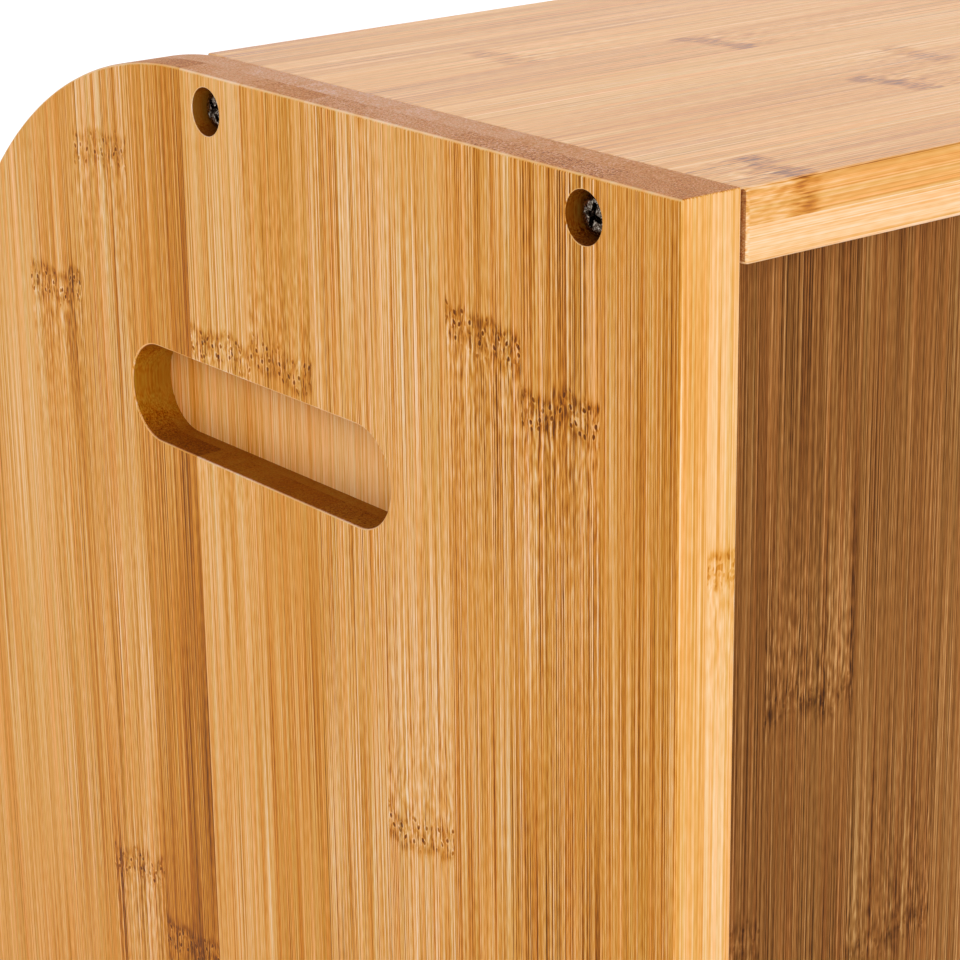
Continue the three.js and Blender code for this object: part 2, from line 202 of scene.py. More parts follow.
def ease(piece, widest, share, segments=3, clamp=True):
    """Rounds the piece's sharp edges. share(a, b) gives an edge's rounding, as a share of the widest."""
    bm = bmesh.new()
    bm.from_mesh(piece.data)
    bmesh.ops.remove_doubles(bm, verts=bm.verts, dist=1e-6)
    bmesh.ops.dissolve_limit(bm, angle_limit=math.radians(0.5), verts=bm.verts, edges=bm.edges)
    weights = bm.edges.layers.float.get("bevel_weight_edge")
    if weights is None:
        weights = bm.edges.layers.float.new("bevel_weight_edge")
    for edge in bm.edges:
        edge[weights] = 0.0
        if len(edge.link_faces) == 2 and edge.calc_face_angle() > math.radians(30):
            edge[weights] = share(edge.verts[0].co, edge.verts[1].co)
    bm.to_mesh(piece.data)
    bm.free()
    bevel = piece.modifiers.new("ease", "BEVEL")
    bevel.limit_method = "WEIGHT"
    bevel.width = widest
    bevel.segments = segments
    bevel.use_clamp_overlap = clamp
    apply_modifiers(piece)


def smooth(piece, degrees=35):
    piece.data.shade_smooth()
    piece.data.set_sharp_from_angle(angle=math.radians(degrees))
    weighted = piece.modifiers.new("even", "WEIGHTED_NORMAL")
    weighted.keep_sharp = True
    apply_modifiers(piece)


def set_grain(piece, grain_of):
    """Stores grain_of(vertices as an n by 3 array in metres), in millimetres, as the grain attribute."""
    mesh = piece.data
    flat = np.zeros(len(mesh.vertices) * 3)
    mesh.vertices.foreach_get("co", flat)
    grain = np.asarray(grain_of(flat.reshape(-1, 3)), float) / MM
    attribute = mesh.attributes.new("grain", "FLOAT_VECTOR", "POINT")
    attribute.data.foreach_set("vector", grain.astype(np.float32).ravel())


def finished(piece, body, nodes, material=None):
    if material is not None:
        piece.data.materials.clear()
        piece.data.materials.append(material)
    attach(piece, body)
    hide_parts(*nodes)
    return piece


# ------------------------------------------------------------------------------------------- materials


class Nodes:
    """A short way to write a material's nodes. Every call returns an output socket."""

    def __init__(self, name):
        self.material = bpy.data.materials.new(name)
        self.material.use_nodes = True
        self.tree = self.material.node_tree
        self.tree.nodes.clear()

    def new(self, kind, **settings):
        node = self.tree.nodes.new(kind)
        for key, value in settings.items():
            setattr(node, key, value)
        return node

    def put(self, socket, value):
        if isinstance(value, bpy.types.NodeSocket):
            self.tree.links.new(value, socket)
        elif value is not None:
            socket.default_value = value

    def math(self, operation, *values, clamp=False):
        node = self.new("ShaderNodeMath", operation=operation, use_clamp=clamp)
        for socket, value in zip(node.inputs, values):
            self.put(socket, value)
        return node.outputs[0]

    def add(self, first, *rest):
        for value in rest:
            first = self.math("ADD", first, value)
        return first

    def vector(self, x, y, z):
        node = self.new("ShaderNodeCombineXYZ")
        for socket, value in zip(node.inputs, (x, y, z)):
            self.put(socket, value)
        return node.outputs[0]

    def split(self, vector):
        node = self.new("ShaderNodeSeparateXYZ")
        self.put(node.inputs[0], vector)
        return node.outputs[0], node.outputs[1], node.outputs[2]

    def noise(self, x, y, z, detail=1.0, roughness=0.5):
        """Noise about zero, from -0.5 to 0.5."""
        node = self.new("ShaderNodeTexNoise", noise_dimensions="3D")
        self.put(node.inputs["Vector"], self.vector(x, y, z))
        node.inputs["Scale"].default_value = 1
        node.inputs["Detail"].default_value = detail
        node.inputs["Roughness"].default_value = roughness
        return self.math("SUBTRACT", node.outputs["Fac"], 0.5)

    def random(self, x, y):
        node = self.new("ShaderNodeTexWhiteNoise", noise_dimensions="2D")
        self.put(node.inputs["Vector"], self.vector(x, y, 0))
        return node.outputs["Value"]

    def ramp(self, factor, stops, interpolation="LINEAR"):
        node = self.new("ShaderNodeValToRGB")
        node.color_ramp.interpolation = interpolation
        elements = node.color_ramp.elements
        while len(elements) < len(stops):
            elements.new(0)
        for element, (position, colour) in zip(elements, stops):
            element.position = position
            element.color = colour
        self.put(node.inputs[0], factor)
        return node.outputs["Color"], node.outputs["Alpha"]

    def mix(self, factor, first, second, blend="MIX"):
        node = self.new("ShaderNodeMix", data_type="RGBA", blend_type=blend)
        self.put(node.inputs[0], factor)
        self.put(node.inputs[6], first)
        self.put(node.inputs[7], second)
        return node.outputs[2]

    def cells(self, x, y):
        """The distance to the middle of the nearest of many scattered cells."""
        node = self.new("ShaderNodeTexVoronoi", voronoi_dimensions="2D", feature="F1")
        self.put(node.inputs["Vector"], self.vector(x, y, 0))
        node.inputs["Scale"].default_value = 1
        return node.outputs["Distance"]

    def along(self, axis):
        dot = self.new("ShaderNodeVectorMath", operation="DOT_PRODUCT")
        self.put(dot.inputs[0], self.new("ShaderNodeTexCoord").outputs["Normal"])
        dot.inputs[1].default_value = axis
        return dot.outputs["Value"]

    def slant(self, first, second):
        """1 on a rounded edge halfway between faces that look along two axes, and 0 on both faces."""
        product = self.math("MULTIPLY", self.along(first), self.along(second))
        return self.math("MULTIPLY", self.math("POWER", self.math("ABSOLUTE", product), 2), 4)

    def facing(self, axis):
        """How far a face looks along an axis of its piece, either way, from 0 on the slant to 1."""
        near = self.math("SUBTRACT", self.math("ABSOLUTE", self.along(axis)), 0.7)
        return self.math("MULTIPLY", near, 4, clamp=True)

    def attribute(self, name):
        return self.new("ShaderNodeAttribute", attribute_name=name).outputs["Vector"]

    def principled(self, colour, roughness, bumps=(), **constants):
        """bumps are (height, depth in metres) pairs, laid one on another."""
        shader = self.new("ShaderNodeBsdfPrincipled")
        self.put(shader.inputs["Base Color"], colour)
        self.put(shader.inputs["Roughness"], roughness)
        for name, value in constants.items():
            shader.inputs[name.replace("_", " ")].default_value = value
        normal = None
        for height, depth in bumps:
            bump = self.new("ShaderNodeBump")
            bump.inputs["Strength"].default_value = 1
            bump.inputs["Distance"].default_value = depth
            self.put(bump.inputs["Height"], height)
            self.put(bump.inputs["Normal"], normal)
            normal = bump.outputs[0]
        self.put(shader.inputs["Normal"], normal)
        output = self.new("ShaderNodeOutputMaterial")
        self.tree.links.new(shader.outputs[0], output.inputs["Surface"])
        return self.material


def srgb(red, green, blue):
    """A colour given as 0 to 255 screen values, as linear light with alpha 1."""
    def linear(value):
        value = value / 255
        return value / 12.92 if value <= 0.04045 else ((value + 0.055) / 1.055) ** 2.4
    return linear(red), linear(green), linear(blue), 1.0


# Bamboo from its darkest fibre to its palest, natural and carbonised
NATURAL = [
    (0.0, srgb(104, 52, 6)),
    (0.2, srgb(168, 93, 6)),
    (0.4, srgb(205, 133, 39)),
    (0.6, srgb(226, 165, 87)),
    (0.8, srgb(238, 194, 143)),
    (1.0, srgb(246, 213, 181)),
]
CARBONISED = [
    (0.0, srgb(52, 25, 4)),
    (0.25, srgb(97, 54, 13)),
    (0.5, srgb(132, 81, 31)),
    (0.75, srgb(160, 107, 52)),
    (1.0, srgb(196, 144, 88)),
]

# The knob's wood is a little warmer than the boards' end grain
KNOB_WARMTH = (1.08, 0.98, 0.68, 1)

# Painted light: the floor of a finger pocket is made warmer and brighter, standing in for the warm light that its walls
# throw onto it
POCKET_PAINTED_BOUNCE_LIGHT = (1.17, 1.06, 0.84, 1)

# Painted shadow of the pocket's upper wall on the pocket's floor: darkest for a few mm below that wall, and lightening
# over a few more
POCKET_PAINTED_SHADOW = (0.58, 0.5, 0.4, 1)
PAINTED_SHADOW_DEPTH = 2.7
PAINTED_SHADOW_REACH = 4.2

TABLE_ROWS = 32
TABLE_SPAN = 400
FADE_LENGTH = 200


def strip_table(nodes, factor, rows):
    """The rows of a strip table as stepped ramps: tone, first knuckle, spacing, flare, figure, slope and fade.

    A flare is from -1 to 1. Its sign says which way along the strip a knuckle's flame runs, and its size
    how strongly the knuckle shows. A figure is how strongly the strip's fibres show, and a slope how much
    paler its far side is than its near side. A fade is how much darker it gets over FADE_LENGTH.
    """
    stops = []
    figures = []
    for index, (tone, first, spacing, flare, figure, slope, fade) in enumerate(rows):
        stops.append((index / TABLE_ROWS, (tone, first / TABLE_SPAN, spacing / TABLE_SPAN, flare / 2 + 0.5)))
        figures.append((index / TABLE_ROWS, (figure, slope + 0.5, fade, 1)))
    colour, flare = nodes.ramp(factor, stops, "CONSTANT")
    figure, slope, fade = nodes.split(nodes.ramp(factor, figures, "CONSTANT")[0])
    slope = nodes.math("SUBTRACT", slope, 0.5)
    flare = nodes.math("MULTIPLY", nodes.math("SUBTRACT", flare, 0.5), 2)
    separate = nodes.new("ShaderNodeSeparateColor")
    nodes.put(separate.inputs[0], colour)
    tone, first, spacing = separate.outputs
    first = nodes.math("MULTIPLY", first, TABLE_SPAN)
    spacing = nodes.math("MULTIPLY", spacing, TABLE_SPAN)
    return tone, first, spacing, nodes.math("SIGN", flare), nodes.math("ABSOLUTE", flare), figure, slope, fade


def random_rows(seed, count, tones=(0.42, 0.66)):
    """Strips with chance tones and knuckles. A bamboo stem has a knuckle every 150 to 300 mm."""
    chance = random.Random(seed)
    rows = []
    for _ in range(count):
        spacing = chance.uniform(170, 300)
        tone = chance.uniform(*tones) - (0.16 if chance.random() < 0.12 else 0)
        flare = chance.choice((-1, 1)) * chance.uniform(0.35, 1.0)
        figure = chance.uniform(0.45, 1.0)
        slope = chance.uniform(-0.07, 0.07)
        rows.append((tone, chance.uniform(0, spacing), spacing, flare, figure, slope, 0.0))
    return rows


def painted_shade_colour(share, green=0.74, blue=0.46):
    """Painted shade: a colour that darkens the wood to a share of its light, most in blue."""
    return share, share * green, share * blue, 1


def bamboo(
    name, rows, width, along, sideways=(0, 1, 0), across_faces=(0, 0, 1),
    palette=NATURAL, ply=6.0, shade=None, contrast=1.0, knuckles=1.0, pitted=1.0, smudge=0.06,
    gloss=0.06, painted_shadow_start=None,
):
    """Laminated bamboo. rows has half the table for each of two layers, or all of it if there is one.

    width is a strip's width and ply a layer's thickness, in mm. along is the fibres' direction in the
    piece, which tells end grain from the faces, and sideways points across the strips, whose planed edges
    are paler and plainer. across_faces is the direction of the board's thickness. shade is a colour that
    the wood is multiplied by: painted shade on cut walls and board ends, painted warm light on a pocket's
    floor, and a warmer tint on the knob. knuckles is how strongly the knuckles show, and pitted and smudge
    how dark the pits in them and the wood round those are.
    """
    nodes = Nodes(name)
    across, length, depth = nodes.split(nodes.attribute("grain"))
    layers = 2 if len(rows) > TABLE_ROWS // 2 and ply else 1
    layer = nodes.math("GREATER_THAN", depth, ply) if layers == 2 else 0.0
    place = nodes.math("DIVIDE", across, width)
    if layers == 2:
        place = nodes.add(place, nodes.math("MULTIPLY", layer, 0.45))
    strip = nodes.math("FLOOR", place)
    within = nodes.math("SUBTRACT", place, strip)
    row = strip
    if layers == 2:
        row = nodes.add(strip, nodes.math("MULTIPLY", layer, TABLE_ROWS / 2))
    factor = nodes.math("DIVIDE", nodes.add(row, 0.5), TABLE_ROWS)
    tone, first, spacing, facing, showing, figure, slope, fade = strip_table(nodes, factor, rows)
    seed = nodes.math("MULTIPLY", row, 7.31)
    chance = nodes.random(row, 3.7)

    # Distance along the fibres from the nearest knuckle, which runs unevenly across its strip
    tilt = nodes.math("MULTIPLY", nodes.math("SUBTRACT", chance, 0.5), 5.0)
    lean = nodes.math("MULTIPLY", nodes.math("SUBTRACT", within, 0.5), tilt)
    waver = nodes.noise(nodes.math("DIVIDE", across, 5.0), seed, nodes.math("DIVIDE", length, 60), 2)
    waver = nodes.math("MULTIPLY", waver, 7.0)
    from_first = nodes.add(nodes.math("SUBTRACT", length, first), lean, waver)
    half = nodes.math("DIVIDE", spacing, 2)
    offset = nodes.math("WRAP", from_first, half, nodes.math("MULTIPLY", half, -1))
    showing = nodes.math("MULTIPLY", showing, knuckles)
    beyond = nodes.math("MULTIPLY", offset, facing)
    tail = nodes.math("EXPONENT", nodes.math("DIVIDE", nodes.math("MAXIMUM", beyond, 0), -20))
    rise = nodes.math("EXPONENT", nodes.math("DIVIDE", nodes.math("MINIMUM", beyond, 0), 3.5))
    flare = nodes.math("MULTIPLY", nodes.math("MULTIPLY", tail, rise), showing)
    plume = nodes.math("EXPONENT", nodes.math("DIVIDE", nodes.math("MAXIMUM", beyond, 0), -50))
    plume = nodes.math("MULTIPLY", plume, rise)
    band = nodes.math("POWER", nodes.math("DIVIDE", offset, 3.0), 4)
    band = nodes.math("MULTIPLY", nodes.math("EXPONENT", nodes.math("MULTIPLY", band, -1)), showing)

    # The brown line a knuckle starts with, on the side away from its flame
    ragged = nodes.noise(nodes.math("DIVIDE", across, 0.5), seed, nodes.math("DIVIDE", depth, 2), 1)
    brow = nodes.math("DIVIDE", nodes.add(beyond, 2.6, nodes.math("MULTIPLY", ragged, 3)), 0.8)
    brow = nodes.math("EXPONENT", nodes.math("MULTIPLY", nodes.math("POWER", brow, 2), -1))
    brow = nodes.math("MULTIPLY", brow, nodes.math("MULTIPLY", showing, nodes.add(0.7, ragged, ragged)))

    # Fibres: fine, middling and broad streaks, that swing sideways beyond a knuckle
    swing = nodes.noise(nodes.math("DIVIDE", across, 2.2), nodes.math("DIVIDE", length, 6.0), seed, 1)
    swing = nodes.math("MULTIPLY", nodes.math("MULTIPLY", swing, 0.9), flare)
    drift = nodes.noise(nodes.math("DIVIDE", across, 30), nodes.math("DIVIDE", length, 260), seed, 0)
    bent = nodes.add(across, swing, nodes.math("MULTIPLY", drift, 1.5))

    def streaks(size, stretch, detail):
        return nodes.noise(
            nodes.math("DIVIDE", bent, size),
            nodes.add(nodes.math("DIVIDE", length, stretch), seed),
            nodes.math("DIVIDE", depth, size * 1.2),
            detail,
            0.6,
        )

    fine = streaks(0.19, 60, 0)
    middling = streaks(0.44, 160, 1)
    broad = streaks(4.5, 150, 1)
    cells = nodes.noise(
        nodes.math("DIVIDE", bent, 0.6),
        nodes.add(nodes.math("DIVIDE", length, 3.2), seed),
        nodes.math("DIVIDE", depth, 0.45),
        1,
    )
    flecks = nodes.noise(
        nodes.math("DIVIDE", bent, 0.24),
        nodes.add(nodes.math("DIVIDE", length, 3.0), seed),
        nodes.math("DIVIDE", depth, 0.5),
        0,
    )
    smoke = nodes.noise(nodes.math("DIVIDE", bent, 2.4), nodes.math("DIVIDE", length, 45), nodes.add(seed, 3), 1)
    smoke = nodes.math("MULTIPLY", nodes.math("MINIMUM", smoke, 0.05), nodes.math("MULTIPLY", plume, showing))
    specks = nodes.noise(
        nodes.math("DIVIDE", across, 0.36),
        nodes.add(nodes.math("DIVIDE", length, 1.2), seed),
        nodes.math("DIVIDE", depth, 0.5),
        0,
    )
    specks = nodes.math("MULTIPLY", nodes.math("SUBTRACT", specks, 0.06), 12, clamp=True)
    specks = nodes.math("MULTIPLY", specks, band)
    spread = nodes.math("DIVIDE", nodes.add(across, depth), 2.3)
    pits = nodes.cells(spread, nodes.add(nodes.math("DIVIDE", from_first, 2.7), seed))
    dots = nodes.math("MULTIPLY", nodes.math("SUBTRACT", 0.19, pits), 12, clamp=True)
    rings = nodes.math("MULTIPLY", nodes.math("SUBTRACT", 0.3, pits), 9, clamp=True)
    dots = nodes.math("MULTIPLY", dots, band)
    rings = nodes.math("MULTIPLY", rings, band)

    grainy = nodes.add(
        nodes.math("MULTIPLY", fine, 1.15 * contrast),
        nodes.math("MULTIPLY", middling, 0.95 * contrast),
        nodes.math("MULTIPLY", flecks, 0.35 * contrast),
    )
    end = nodes.facing(along)
    mottle = nodes.noise(nodes.math("DIVIDE", across, 0.45), nodes.math("DIVIDE", depth, 0.45), seed, 1)
    planed = nodes.facing(sideways)
    open_face = nodes.math("SUBTRACT", 1, nodes.math("MULTIPLY", planed, 0.8))
    dots = nodes.math("MULTIPLY", dots, open_face)
    rings = nodes.math("MULTIPLY", rings, open_face)
    cells = nodes.math("MULTIPLY", cells, nodes.math("SUBTRACT", 1, nodes.math("MULTIPLY", planed, 0.4)))
    # Rounded edges get a painted highlight, and less figure so that it shows as an even light line
    rounded_edge_highlight = nodes.slant(across_faces, along)
    figure = nodes.math("MULTIPLY", figure, nodes.math("SUBTRACT", 1, nodes.math("MULTIPLY", planed, 0.5)))
    calm = nodes.math("SUBTRACT", 1, nodes.math("MULTIPLY", rounded_edge_highlight, 1.4), clamp=True)
    figure = nodes.math("MULTIPLY", figure, calm)
    value = nodes.add(
        tone,
        nodes.math("MULTIPLY", slope, nodes.math("SUBTRACT", within, 0.5)),
        nodes.math("MULTIPLY", fade, nodes.math("DIVIDE", length, -FADE_LENGTH)),
        nodes.math("MULTIPLY", grainy, figure),
        nodes.math("MULTIPLY", planed, 0.17),
        nodes.math("MULTIPLY", broad, 0.30 * contrast),
        nodes.math("MULTIPLY", nodes.math("MULTIPLY", cells, flare), 1.6 * contrast),
        nodes.math("MULTIPLY", smoke, 0.9 * contrast),
        nodes.math("MULTIPLY", nodes.math("MULTIPLY", mottle, end), 0.5),
        nodes.math("MULTIPLY", band, -smudge),
        nodes.math("MULTIPLY", brow, -0.26 * pitted),
        nodes.math("MULTIPLY", specks, -0.28 * pitted),
        nodes.math("MULTIPLY", rings, 0.22 * pitted),
        nodes.math("MULTIPLY", dots, -0.8 * pitted),
        # Painted highlight on rounded edges, and a fainter painted highlight where a face meets a strip's planed edge
        nodes.math("MULTIPLY", rounded_edge_highlight, 0.3),
        nodes.math("MULTIPLY", nodes.slant(across_faces, sideways), 0.14),
    )
    edge = nodes.math("MINIMUM", within, nodes.math("SUBTRACT", 1, within))
    glue = nodes.math("SUBTRACT", 1, nodes.math("DIVIDE", edge, 0.012), clamp=True)
    value = nodes.add(value, nodes.math("MULTIPLY", glue, -0.06))

    colour, _ = nodes.ramp(value, palette)
    tint = nodes.noise(nodes.math("DIVIDE", bent, 0.9), nodes.math("DIVIDE", length, 90), nodes.add(seed, depth), 1)
    tint = nodes.add(nodes.math("MULTIPLY", tint, 2.2), 0.5)
    ruddy = nodes.mix(1.0, colour, (1.05, 0.95, 0.88, 1), "MULTIPLY")
    olive = nodes.mix(1.0, colour, (0.95, 1.04, 1.08, 1), "MULTIPLY")
    colour = nodes.mix(nodes.math("MAXIMUM", tint, 0.0, clamp=True), ruddy, olive)
    # End grain is paler and greyer wood, and its bluish tint is painted reflection of the bright surroundings
    sawn = nodes.mix(0.2, colour, srgb(205, 165, 140))
    colour = nodes.mix(end, colour, nodes.mix(1.0, sawn, srgb(232, 223, 245), "MULTIPLY"))
    if shade is not None:
        colour = nodes.mix(1.0, colour, shade, "MULTIPLY")
    # Painted shadow: the colour is darkest just below the wall above, as if in that wall's shade, and lightens along
    # the fibres away from it
    if painted_shadow_start is not None:
        under = nodes.math("DIVIDE", nodes.math("SUBTRACT", painted_shadow_start, length), PAINTED_SHADOW_REACH)
        dim = nodes.mix(1.0, colour, POCKET_PAINTED_SHADOW, "MULTIPLY")
        colour = nodes.mix(nodes.math("EXPONENT", under, clamp=True), colour, dim)
    roughness = nodes.add(0.42, nodes.math("MULTIPLY", middling, 0.2), nodes.math("MULTIPLY", end, 0.25))
    pores = nodes.noise(nodes.math("DIVIDE", across, 0.4), nodes.math("DIVIDE", length, 18), depth, 0)
    return nodes.principled(colour, roughness, [(pores, 0.05 * MM)], Specular_IOR_Level=gloss)


# --------------------------------------------------------------------------------------- camera and stage

# The camera's place from the upper rear outer corner of the right-hand panel, and where it looks
EYE_FROM_CORNER = Vector((0.2844, 0.3130, 0.1023))
YAW, PITCH, ROLL = (math.radians(angle) for angle in (38.20, 18.97, -0.80))
LENS = 111.3


def make_camera():
    data = bpy.data.cameras.new("camera")
    data.sensor_width = 36
    data.lens = LENS
    data.clip_start = 0.01
    camera = new_piece("camera", data)
    ahead = Vector((-math.sin(YAW) * math.cos(PITCH), -math.cos(YAW) * math.cos(PITCH), -math.sin(PITCH)))
    level = ahead.cross(Vector((0, 0, 1))).normalized()
    upright = level.cross(ahead)
    right = level * math.cos(ROLL) + upright * math.sin(ROLL)
    up = upright * math.cos(ROLL) - level * math.sin(ROLL)
    turn = Matrix((right, up, -ahead)).transposed().to_4x4()
    camera.matrix_world = Matrix.Translation(Vector((PANEL_OUT, REAR, TOP)) + EYE_FROM_CORNER) @ turn
    bpy.context.scene.camera = camera


def area_light(name, place, aim, size, power, colour=(1, 1, 1)):
    data = bpy.data.lights.new(name, "AREA")
    data.shape = "RECTANGLE"
    data.size, data.size_y = size
    data.energy = power
    data.color = colour
    light = new_piece(name, data)
    light.location = place
    light.rotation_mode = "QUATERNION"
    light.rotation_quaternion = (Vector(aim) - Vector(place)).to_track_quat("-Z", "Y")
    light.visible_camera = False
    light.visible_glossy = True


def make_stage():
    nodes = Nodes("floor")
    floor_material = nodes.principled((0.68, 0.68, 0.68, 1), 0.7)
    shader = nodes.tree.nodes["Principled BSDF"]
    shader.inputs["Emission Color"].default_value = (1, 1, 1, 1)
    shader.inputs["Emission Strength"].default_value = 0.42
    bm = bmesh.new()
    bmesh.ops.create_grid(bm, x_segments=2, y_segments=2, size=12)
    floor = piece_from_bmesh("floor", bm)
    floor.data.materials.append(floor_material)
    world = bpy.data.worlds.new("studio")
    world.use_nodes = True
    background = world.node_tree.nodes["Background"]
    background.inputs["Color"].default_value = (1, 1, 1, 1)
    background.inputs["Strength"].default_value = 0.56
    bpy.context.scene.world = world
    bpy.context.scene.view_settings.view_transform = "Standard"
    area_light("key", (0.3, 2.5, 1.2), (0, 0, 0.1), (1.6, 1.6), 26)
    area_light("fill", (2.3, 0.8, 1.0), (0, 0, 0.1), (1.4, 1.4), 9.5)
    area_light("card", (-1.75, -2.2, 1.1), (0, 0, 0.1), (2.0, 2.0), 16)
    area_light("top", (-0.3, -0.5, 2.6), (0, 0, 0.1), (2.2, 2.2), 13)


# ---------------------------------------------------------------------------------------------- case

PANEL_STRIP = 19.3
TOP_STRIP = 16.0
BOARD_STRIP = 19.0
BACK_STRIP = 20.5
BACK_TRIMMED = 2.5 * MM

# The right-hand panel's outer strips from the rear edge: tone, how far below the top edge a knuckle is,
# the spacing of its knuckles, their flare, which is positive where it runs down, figure, slope and fade
RIGHT_PANEL_STRIPS = [
    (0.46, 300, 380, 0.4, 0.88, 0.05, 0.04),
    (0.44, 40, 230, 0.9, 1.15, 0.03, 0.04),
    (0.51, 31, 240, 0.9, 1.0, 0.0, 0.04),
    (0.58, 126.5, 250, -0.8, 1.0, 0.04, 0.04),
    (0.56, 330, 380, 0.3, 1.0, -0.05, 0.04),
    (0.49, 48.5, 260, -0.7, 0.6, 0.06, 0.04),
    (0.61, 51, 270, 0.8, 0.65, -0.04, 0.04),
    (0.44, 180, 300, 0.6, 0.75, 0.16, 0.2),
    (0.56, 19.5, 150, 0.6, 0.9, -0.04, 0.05),
    (0.53, 50, 260, 0.8, 0.72, 0.08, 0.04),
    (0.59, 330, 380, 0.4, 0.6, -0.06, 0.04),
    (0.56, 330, 380, -0.4, 0.6, 0.0, 0.04),
]
# The right-hand panel's inner strips from the rear edge, with the same columns. Those that the finger pocket's floor
# shows are pale: partly fresh-cut wood and partly painted light that lifts the recess.
RIGHT_PANEL_INNER_STRIPS = [
    (0.50, 60, 230, 0.7, 0.8, 0.0, 0.0),
    (0.55, 330, 390, 0.4, 0.6, 0.0, 0.0),
    (0.58, 330, 390, 0.4, 0.6, 0.0, 0.0),
    (0.66, 330, 390, 0.4, 0.6, 0.0, 0.0),
    (0.72, 330, 390, 0.4, 0.6, 0.0, 0.0),
    (0.75, 330, 390, 0.4, 0.6, 0.0, 0.0),
    (0.70, 330, 390, 0.4, 0.6, 0.0, 0.0),
    (0.66, 330, 390, 0.4, 0.6, 0.0, 0.0),
    (0.64, 330, 390, 0.4, 0.6, 0.0, 0.0),
]
# The top board's upper strips from the rear, and the back panel's from the right
TOP_STRIPS = [
    (0.50, 13.5, 300, -0.8, 0.8, 0.0, 0.0),
    (0.54, 250, 380, 0.4, 0.7, 0.05, 0.0),
    (0.48, 73.5, 260, 0.7, 0.7, -0.04, 0.0),
    (0.52, 95, 280, -0.5, 0.7, 0.05, 0.0),
    (0.55, 300, 390, 0.3, 0.6, 0.0, 0.0),
    (0.48, 75.5, 270, 0.6, 0.7, -0.05, 0.0),
    (0.53, 37.5, 250, 0.5, 0.6, 0.03, 0.0),
    (0.50, 170, 290, -0.4, 0.7, 0.0, 0.0),
    (0.46, 300, 380, 0.3, 0.7, 0.04, 0.0),
]
BACK_STRIPS = [
    (0.48, 122, 300, 0.85, 0.9, 0.0, 0.0),
    (0.51, 82.8, 260, -0.9, 0.95, 0.05, 0.0),
    (0.55, 134, 290, -0.8, 0.9, 0.0, 0.0),
    (0.57, 330, 390, 0.4, 0.9, 0.0, 0.0),
]


def two_layers(outer, seed, inner=()):
    """The rows of two layers, half a table each. Strips that aren't given are left to chance."""
    half = TABLE_ROWS // 2
    return (
        list(outer) + random_rows(seed, half - len(outer))
        + list(inner) + random_rows(seed + 1, half - len(inner))
    )


def panel_outline():
    flat_end = FRONT + NOSE_RADIUS
    nose = arc(flat_end, TOP - NOSE_RADIUS, NOSE_RADIUS, 90, 180, 60)
    return [(REAR, BOTTOM), (REAR, TOP)] + nose + [(FRONT, BOTTOM)]


def pocket_outline():
    radius = POCKET_HEIGHT / 2
    reach = POCKET_LENGTH / 2 - radius
    y = (FRONT + REAR) / 2
    z = TOP - POCKET_BELOW_TOP
    return arc(y + reach, z, radius, -90, 90, 32) + arc(y - reach, z, radius, 90, 270, 32)


def groove_outline():
    start, end = GROOVE_ANGLES
    outer = arc(AXIS.y, AXIS.z, GROOVE_OUTER, start, end, 120)
    inner = arc(AXIS.y, AXIS.z, GROOVE_INNER, end, start, 120)
    return outer + inner


def screw_centres(side):
    """Where the screws of one side are, as (y, z)."""
    return [
        ((low.y + high.y) / 2, (low.z + high.z) / 2)
        for low, high in SCREW_BOXES.values() if low.x * side > 0
    ]


def span(side, near, far):
    """Two distances from the middle of the box as an ordered pair of x values on one side."""
    return sorted((side * near, side * far))


